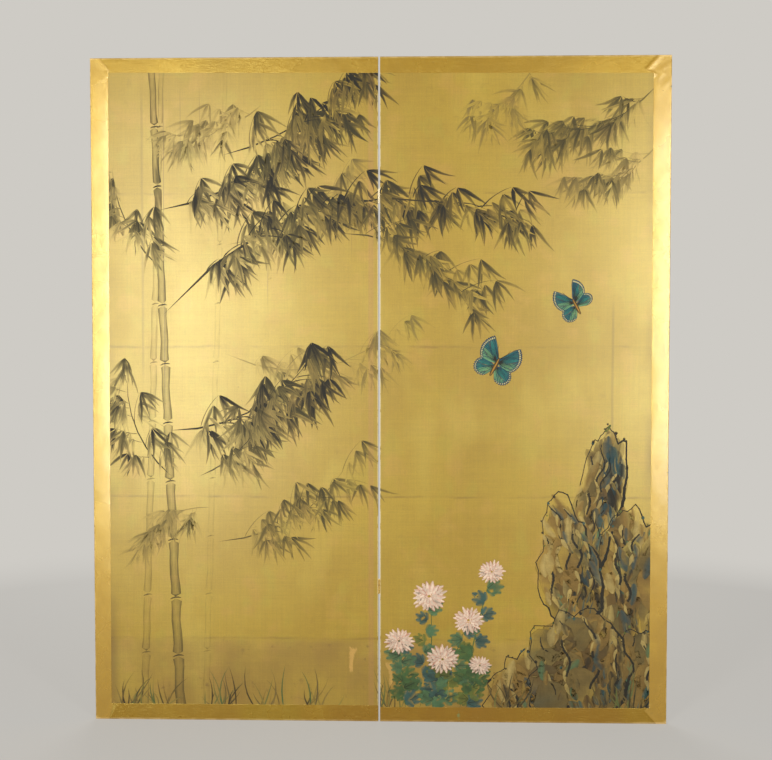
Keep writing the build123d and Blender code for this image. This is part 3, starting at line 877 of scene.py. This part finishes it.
def paintBranch(motif, start, end, bow, width, count, length, ink, strength):
    # a bowed twig with side twigs, each ending in hanging leaves
    chance, start, end = motif.chance, Vector(start), Vector(end)
    line = end - start
    motif.stroke(start, end, width, ink, strength * 0.9, "line", bow, rim=0.9)
    for number in range(count):
        root = bowed(start, line, bow, 0.14 + 0.86 * (number + chance.random() * 0.6) / count)
        heading = math.atan2(line.y, line.x) + chance.choice((-1, 1)) * chance.uniform(0.3, 1.0)
        twig = toward(heading) * chance.uniform(0.025, 0.105)
        if twig.y < -0.03:
            twig.y *= 0.4
        motif.flick(root, twig, 0, 1, width * 0.5, ink, strength * 0.8, "line", 0.08)
        for reach, tone in ((0.35, 0.62), (0.7, 0.86), (1.0, 1.0)):
            droop = math.radians(-90) + 0.75 * math.copysign(1, twig.x) * chance.uniform(0.1, 1.1)
            paintSprig(motif, root + twig * reach, droop, chance.choice((3, 4, 5)), length,
                       chance.choice((ink, ink, "olive")), strength * tone)


def paintBamboo():
    look, culms, farLeaves = bambooLook, Motif("bamboo_culms", 0, 5), Motif("distant_leaves", 1, 7)
    leaves = Motif("bamboo_leaves", 2, 6)
    for foot, top, width, strength in look["culms"]:
        foot, top = Vector(foot), Vector(top)
        count = round((top - foot).length / look["jointSpan"])
        for number in range(count):
            start, end = foot.lerp(top, number / count), foot.lerp(top, (number + 0.965) / count)
            slim = width * (1 - 0.35 * number / count)
            culms.stroke(start, end, slim, "olive", strength * 0.62, "stem",
                         culms.chance.uniform(-0.006, 0.006), 0.1, 1.55)
            culms.flick(end, Vector((slim * 0.56, 0.002)), -1, 1, 0.0042, "black", strength, "dab", 0.12)
    for motif, branches in ((leaves, look["branches"]), (farLeaves, look["farBranches"])):
        for branch in branches:
            paintBranch(motif, *branch)
    return [culms, farLeaves, leaves]


rockLook = {
    # masses of the rock from the back: middle, half width, half height, lean in degrees
    "masses": ((0.566, 0.585, 0.055, 0.19, -9), (0.645, 0.375, 0.084, 0.19, -5),
               (0.492, 0.4, 0.078, 0.17, 10), (0.66, 0.11, 0.092, 0.155, -8),
               (0.385, 0.08, 0.105, 0.11, 16), (0.52, 0.14, 0.142, 0.155, 2)),
    # how many washes in a ring and where the rings lie, broad and small touches, dry strokes, clefts with
    # the length of their steps, steps of the outline, and dots of moss
    "washes": 14, "rings": (0.26, 0.66), "patches": 56, "hatches": 40, "clefts": 4, "cleftStep": 0.011,
    "outline": 52, "moss": 16,
    # the side that the light leaves, and the inks from deep shade to full light
    "shadeAim": math.radians(-40),
    "inks": ((0.62, ("black",)), (0.36, ("blue", "black")), (0.12, ("umber", "teal", "blue")),
             (-0.16, ("ochre", "jade", "wash")), (-9.0, ("buff", "buff", "ochre"))),
    "washInks": ("ochre", "wash", "ochre", "umber"), "cleftInks": ("black", "blue", "black"),
    "hatchInks": ("black", "black", "blue"), "mossInks": ("black", "teal", "moss", "black"),
}


def paintRock():
    look, rock = rockLook, Motif("garden_rock", 0, 21)
    chance, between, pick = rock.chance, rock.chance.uniform, rock.chance.choice
    shadeWay = toward(look["shadeAim"])

    def lay(spot, aim, reach, width, ink, strength, form="dab", rim=0.6, fade=0.0):
        bow = between(-0.12, 0.12)
        rock.flick(spot, toward(aim), -reach, reach, width, ink, strength, form, bow, fade, rim)

    for middleX, middleZ, halfWidth, halfHeight, lean in look["masses"]:
        middle, turn = Vector((middleX, middleZ)), math.radians(lean)
        upright = turn + math.radians(90)

        def onMass(angle, reach):
            # a point of the mass: its outline is an uneven, bony oval
            way = toward(angle)
            uneven = noise.noise(Vector((way.x * 1.5 + middleX * 40, way.y * 1.5, middleZ * 30))) * 0.34
            uneven += noise.noise(Vector((way.x * 4.5, way.y * 4.5 + middleX * 50, middleZ * 30))) * 0.16
            spot = Vector((way.x * halfWidth, way.y * halfHeight)) * reach * (1 + uneven)
            return middle + Vector((spot.x * math.cos(turn) - spot.y * math.sin(turn),
                                    spot.x * math.sin(turn) + spot.y * math.cos(turn)))

        def grainAt(spot):
            # the way that the stone's texture runs
            return upright + noise.noise(Vector((spot.x * 9, 2.7, spot.y * 7))) * 1.2

        def shadeAt(spot):
            away = Vector(((spot.x - middle.x) / halfWidth, (spot.y - middle.y) / halfHeight))
            return away.dot(shadeWay) * 0.8 + noise.noise(Vector((spot.x * 16, 5.1, spot.y * 11))) * 0.6

        for reach in look["rings"]:
            for number in range(look["washes"]):
                spot = onMass(math.tau * (number + reach) / look["washes"], reach)
                lay(spot, upright + chance.gauss(0, 0.2), halfHeight * 0.3, halfWidth * 0.66,
                    pick(look["washInks"]), 0.62, rim=0.85)
        for number in range(look["patches"]):
            # broad touches first, then smaller ones
            spot = onMass(between(0, math.tau), chance.random() ** 0.5 * 0.88)
            size = 1.8 - 1.2 * number / look["patches"]
            shade = shadeAt(spot) + between(-0.08, 0.08)
            ink = next(pick(names) for limit, names in look["inks"] if shade > limit)
            lay(spot, grainAt(spot), 0.022 * size, 0.016 * size, ink, between(0.6, 0.9), rim=0.35)
        for number in range(look["clefts"]):
            # a cleft wanders down the mass, lit along one lip and shaded along the other
            part = (number + between(0.3, 0.7)) / look["clefts"]
            start = onMass(math.radians(155 - 130 * part), between(0.7, 1.0))
            line = onMass(math.radians(205 + 130 * part), between(0.25, 0.95)) - start
            sway, wobble = between(-0.16, 0.16), between(0, math.tau)
            count = round(line.length / look["cleftStep"])
            points = [start + line * (step / count) + beside(line) * (sway * math.sin(math.pi * step / count)
                      + 0.035 * math.sin(step * 0.8 + wobble)) for step in range(count + 1)]
            for near, far in zip(points[::3], points[3::3]):
                shaded, lit = shadeWay * between(0.006, 0.011), shadeWay * -between(0.005, 0.008)
                rock.stroke(near + shaded, far + shaded * 1.4, between(0.012, 0.022), pick(look["cleftInks"]),
                            between(0.55, 0.85), "dab", rim=0.1)
                rock.stroke(near + lit, far + lit, between(0.005, 0.012), "buff", between(0.5, 0.9),
                            bow=between(-0.1, 0.1), fade=0.3)
            heavy = between(0.003, 0.007)
            rock.trail(points, lambda along: 0.002 + heavy * math.sin(math.pi * along) ** 0.7, "black", 0.94)
        for number in range(look["hatches"]):
            # dry texture strokes on the side away from the light
            spot = onMass(look["shadeAim"] + chance.gauss(0, 0.8), between(0.45, 0.96))
            lay(spot, grainAt(spot) + chance.gauss(0, 0.15), between(0.01, 0.024), between(0.003, 0.008),
                pick(look["hatchInks"]), between(0.5, 0.9), "leaf", fade=0.3)
        # the outline, heavier away from the light and broken where the light falls
        begin, pressure = between(0, math.tau), between(0, math.tau)

        def outlineWidth(along):
            angle = begin + math.tau * along
            heavy = 0.5 + 0.5 * math.cos(angle - look["shadeAim"])
            return 0.0022 + 0.008 * heavy ** 1.4 * (0.75 + 0.25 * math.sin(angle * 6 + pressure))

        rim = [onMass(begin + math.tau * step / look["outline"], 1.0) for step in range(look["outline"] + 1)]
        rock.trail(rim, outlineWidth, "black", 0.95)
        for number in range(look["moss"]):
            dot = between(0.0016, 0.004)
            lay(onMass(chance.gauss(1.4, 0.9), between(0.95, 1.05)), 0.0, dot, dot * 2.4,
                pick(look["mossInks"]), 0.9)
    return [rock]


flowerLook = {
    # middle and radius of each bloom, and the root of its stem
    "blooms": ((0.13, 0.33, 0.048), (0.232, 0.268, 0.042), (0.052, 0.212, 0.04), (0.165, 0.165, 0.044),
               (0.292, 0.395, 0.036), (0.262, 0.15, 0.03)),
    "roots": ((0.105, 0.035), (0.16, 0.032), (0.07, 0.034), (0.135, 0.03), (0.21, 0.034), (0.225, 0.036)),
    # rings of petals, petals in the outer one and stamens; leaves on a stem, their span and their inks
    "rings": 5, "petals": 19, "stamens": 12,
    "leaves": 9, "leafSpan": 0.042, "leafInks": ("green", "jade", "teal", "moss", "jade"),
}


def paintLobedLeaf(motif, root, aim, span, ink):
    # a middle lobe and two pairs at its sides, then the veins
    for turn, reach in ((0.95, 0.62), (-0.95, 0.62), (0.45, 0.86), (-0.45, 0.86), (0.0, 1.0)):
        motif.flick(root, toward(aim + turn) * span, 0, reach, span * 0.4, ink, 0.86, "dab", rim=0.62)
    motif.flick(root, toward(aim) * span, 0, 0.7, span * 0.55, "black", motif.chance.uniform(0.1, 0.42),
                "dab", rim=0.1)
    for turn, reach in ((0.62, 0.6), (-0.62, 0.6), (0.0, 0.9)):
        motif.flick(root, toward(aim + turn) * span, 0, reach, span * 0.05, "black", 0.7, "line")


def paintFlowers():
    look, leaves = flowerLook, Motif("chrysanthemum_leaves", 2, 31)
    petals = Motif("chrysanthemum_blooms", 3, 32)
    chance, between = leaves.chance, petals.chance.uniform
    for (middleX, middleZ, radius), root in zip(look["blooms"], look["roots"]):
        middle, root = Vector((middleX, middleZ)), Vector(root)
        leaves.stroke(root, middle, 0.0045, "green", 0.85, "line", chance.uniform(-0.06, 0.06), rim=0.9)
        for number in range(look["leaves"]):
            spot = root + (middle - root) * (0.12 + 0.095 * number)
            aim = math.radians(90) + (1 if number % 2 else -1) * chance.uniform(0.9, 1.7)
            span = look["leafSpan"] * chance.uniform(0.75, 1.1)
            paintLobedLeaf(leaves, spot, aim, span, chance.choice(look["leafInks"]))
        for ring in range(look["rings"]):
            count = look["petals"] - 2 * ring
            for number in range(count):
                angle = math.tau * (number + 0.5 * ring) / count + between(-0.07, 0.07)
                reach = radius * (1 - 0.17 * ring) * between(0.9, 1.08)
                petal = Vector((math.cos(angle), math.sin(angle) * 0.88)) * reach
                under = "rose" if petals.chance.random() < 0.12 else "blush"
                petals.flick(middle, petal, 0.22, 1, radius * 0.23, under, 0.62, "dab", between(-0.06, 0.06))
                petals.flick(middle, petal, 0.3, 0.96, radius * 0.16, "petal", 0.92, "dab",
                             between(-0.06, 0.06), rim=0.55)
        for number in range(look["stamens"]):
            way = Vector((between(-1, 1), between(-1, 1))) * radius * 0.16
            petals.flick(middle, way, 1, 1.25, radius * 0.09, "pollen", 0.85, "dab")
    return [leaves, petals]


butterflyLook = {
    # middle, aim of the head in degrees, span, how far the near wings are turned away
    "butterflies": ((0.3, 0.93, 62, 0.13, 1.0), (0.505, 1.085, 118, 0.112, 0.72)),
    # wing: first and last angle from the head's line in degrees, root on the body and length as shares of
    # the span, touches of the brush, and how much shorter its trailing edge and both its edges are
    "wings": ((88, 152, -0.02, 0.46, 12, 0.1, 0.22), (34, 96, 0.06, 0.58, 15, 0.34, 0.05)),
    # feeler: length as a share of the span, angle from the head's line in radians
    "feelers": ((0.44, 0.308), (0.3, 0.44)),
}


def paintButterflies():
    look, wings, marks = butterflyLook, Motif("butterfly_wings", 1, 41), Motif("butterfly_marks", 2, 42)
    for middleX, middleZ, head, span, turned in look["butterflies"]:
        middle, heading = Vector((middleX, middleZ)), math.radians(head)
        body = toward(heading) * span
        for side in (-1, 1):
            narrow = turned if side < 0 else 1
            for first, last, root, reach, count, trailing, edges in look["wings"]:
                shoulder = middle + body * root
                for number in range(count):
                    part = number / (count - 1)
                    angle = heading + side * math.radians(first + (last - first) * part) * narrow
                    long = span * reach * (1 - trailing * part - edges * (2 * part - 1) ** 2)
                    way, ink = toward(angle) * long, "wingLight" if part > 0.55 else "wing"
                    wings.flick(shoulder, way, 0, 1, long * 0.2, "wingDark", 0.88, "dab")
                    wings.flick(shoulder, way, 0.06, 0.86, long * 0.15, ink, 0.9, "dab", fade=0.15, rim=0.7)
                    marks.flick(shoulder, way, 0.86, 0.93, long * 0.055, "cream", 0.85, "dab")
                    marks.flick(shoulder, way, 0, 1, long * 0.018, "black", 0.75, "line")
            for reach, curl in look["feelers"]:
                tip = middle + toward(heading + side * curl) * span * reach
                marks.stroke(middle + body * 0.15, tip, 0.002, "black", 0.9, "line", side * 0.1)
        marks.flick(middle, body, -0.24, 0.17, span * 0.085, "umber", 0.95, "dab", rim=0.9)
        marks.flick(middle, body, -0.22, 0.15, span * 0.03, "pollen", 0.7, "dab")
    return [wings, marks]


grassLook = {
    # tuft: middle, foot, how many blades
    "tufts": ((-0.66, 0.03, 16), (-0.56, 0.028, 12), (-0.42, 0.03, 18), (-0.3, 0.028, 10),
              (-0.18, 0.032, 12), (0.02, 0.03, 12), (0.33, 0.032, 12), (0.64, 0.034, 12)),
    "reach": 0.105, "width": 0.0042, "inks": ("black", "olive", "wash", "green"),
}


def paintGrass():
    look, grass = grassLook, Motif("grass", 2, 51)
    chance = grass.chance
    for x, z, count in look["tufts"]:
        for number in range(count):
            aim = math.radians(90) + chance.gauss(0, 0.5)
            reach = look["reach"] * chance.uniform(0.4, 1.15)
            root = Vector((x + chance.gauss(0, 0.018), z))
            grass.flick(root, toward(aim), 0, reach, look["width"], chance.choice(look["inks"]),
                        chance.uniform(0.55, 0.9), bow=chance.uniform(-0.14, 0.14), fade=0.2)
    return [grass]


# plain parts of the carried-over model

woodLook = {"pale": paint(206, 168, 116), "dark": paint(166, 118, 72), "late": paint(138, 88, 50)}
bambooPegLook = {"pale": paint(214, 188, 120), "dark": paint(176, 142, 82)}
paperLook = {
    "facing": paint(178, 152, 108), "facingDark": paint(166, 139, 95), "fibre": paint(200, 178, 136),
    "lining": paint(214, 198, 164), "liningDark": paint(184, 160, 118), "speck": paint(110, 84, 52),
    "sheetHeights": (0.34, 0.68, 1.02, 1.36), "lap": paint(146, 120, 80), "lapWidth": (0.01, 0.007),
}
brassLook = {
    # the near white is a painted highlight for the upper hinge's barrel
    "rubbed": paint(246, 236, 206), "bright": paint(226, 192, 112), "dull": paint(168, 126, 62),
    "tarnish": paint(96, 70, 38),
    # painted highlight: the rounds of the upper hinge's barrel are made near white, above this height and in
    # front of this depth
    "glintHeight": (0.9, 1.1), "glintDepth": (-0.0105, -0.0115),
}


def makeWoodFinish(name, upright):
    # straight-grained softwood, its grain along the piece
    finish = Finish(name, woodLook["pale"])
    along = (46, 46, 2.2) if upright else (2.2, 46, 46)
    rings = finish.grain(1, 3, 0.55, along)
    fibres = finish.threads(*(value * 14 for value in along))
    finish.over(rings.rise(0.38, 0.62), woodLook["dark"])
    finish.over(rings.rise(0.6, 0.68) * 0.7, woodLook["late"])
    return finish.done(finish.coat(fibres, 0.0001, 0.5, 1 + fibres * 0.3, Roughness=0.62 + fibres * 0.2))


def makeBambooFinish():
    finish = Finish("bambooPegs", bambooPegLook["pale"])
    fibres = finish.grain(1, 3, stretch=(420, 30, 420))
    finish.over(fibres.rise(0.4, 0.62), bambooPegLook["dark"])
    return finish.done(finish.coat(fibres, 0.00008, 0.5, Roughness=0.42 + fibres * 0.15))


def makePaperFinish(name, plain, dark, joins=()):
    # handmade paper: long pale fibres, soft clouds and, where it is pasted in sheets, their laps
    look, finish = paperLook, Finish(name, paperLook[plain])
    clouds, lap = finish.grain(3.2, 4, 0.6), 0
    fibres = finish.grain(260, 4, 0.7, (1, 1, 0.3)).rise(0.58, 0.68)
    crossFibres = finish.grain(220, 4, 0.7, (0.25, 1, 1)).rise(0.59, 0.69)
    finish.over(clouds.rise(0.3, 0.72), look[dark])
    finish.over(fibres.most(crossFibres) * 0.35, look["fibre"])
    finish.over(finish.spots(26, 0.0014) * 0.6, look["speck"])
    for height in joins:
        above = finish.z + (clouds - 0.5) * 0.004 - height
        lap = above.rise(*look["lapWidth"]) * above.rise(-0.0005, 0.0005) + lap
    if joins:
        finish.over(lap * (clouds - 0.1), look["lap"])
    tone = 1 + (finish.grain(240, 3) - 0.5) * 0.16
    return finish.done(finish.coat(fibres * 0.5 + crossFibres * 0.5 + lap, 0.0001, 0.5, tone,
                                   Roughness=0.78 + (clouds - 0.5) * 0.12))


def makeBrassFinish(name, tarnished):
    # dull and brown in places, with a painted highlight near white on the rounds of the upper hinge's barrel
    look, finish = brassLook, Finish(name, brassLook["bright"])
    cloud, brush = finish.grain(160, 4, 0.65), finish.threads(2600, 2600, 160)
    barrel = finish.z.rise(*look["glintHeight"]) * finish.y.rise(*look["glintDepth"])
    spotted = (finish.grain(420, 4, 0.7) + tarnished).rise(0.62, 0.78)
    finish.over(cloud.rise(0.4, 0.66), look["dull"])
    # painted highlight on the upper barrel
    finish.over(barrel * cloud.rise(0.28, 0.46), look["rubbed"])
    finish.over(spotted, look["tarnish"])
    return finish.done(finish.coat(brush + cloud * 0.4, 0.00004, 0.6, Metallic=1 - spotted * 0.45,
                                   Roughness=0.3 + cloud * 0.16 + spotted * 0.28))


def finishNodes():
    # a finish for every node that stays in view or shows when a pose opens it
    upright, level = makeWoodFinish("uprightCedar", True), makeWoodFinish("levelCedar", False)
    lining = makePaperFinish("liningPaper", "lining", "liningDark")
    facing = makePaperFinish("facingPaper", "facing", "facingDark", paperLook["sheetHeights"])
    brass, screws = makeBrassFinish("hingeBrass", 0.0), makeBrassFinish("screwBrass", 0.04)
    finishes = {
        "stile": upright, "uprights": upright, "rail": level, "bars": level, "boards": level,
        "pegs": makeBambooFinish(), "underpaper": lining, "strip": lining, "back_paper": facing,
        "leaf": brass, "pin": brass, "screws": screws,
    }
    for name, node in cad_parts.items():
        for ending, finish in finishes.items():
            if name.endswith(ending):
                for slot in node.material_slots:
                    slot.material = finish


makeCamera()
makeLamps()
makeWorld()
makeFloor()
print("studio ready")

finishNodes()
print("carried-over parts finished")

silkFinish = makeSilkFinish()
clothFinishes = makeClothFinish("levelBorderCloth", False), makeClothFinish("uprightBorderCloth", True)
for panel in sides:
    makeSilk(panel)
    for strip in ("side", "top", "bottom"):
        makeBorder(panel, strip)
print("silk and borders ready")

brushFinish = makeBrushFinish()
strokeBlanks = {kind: strokeBlank(along, across) for kind, (along, across, *rest) in strokeForms.items()}
for motif in paintBamboo() + paintRock() + paintFlowers() + paintButterflies() + paintGrass():
    for stroke in motif.strokes:
        stroke.settle()
    for panel in sides:
        layOn(panel, motif)
print("painting ready")
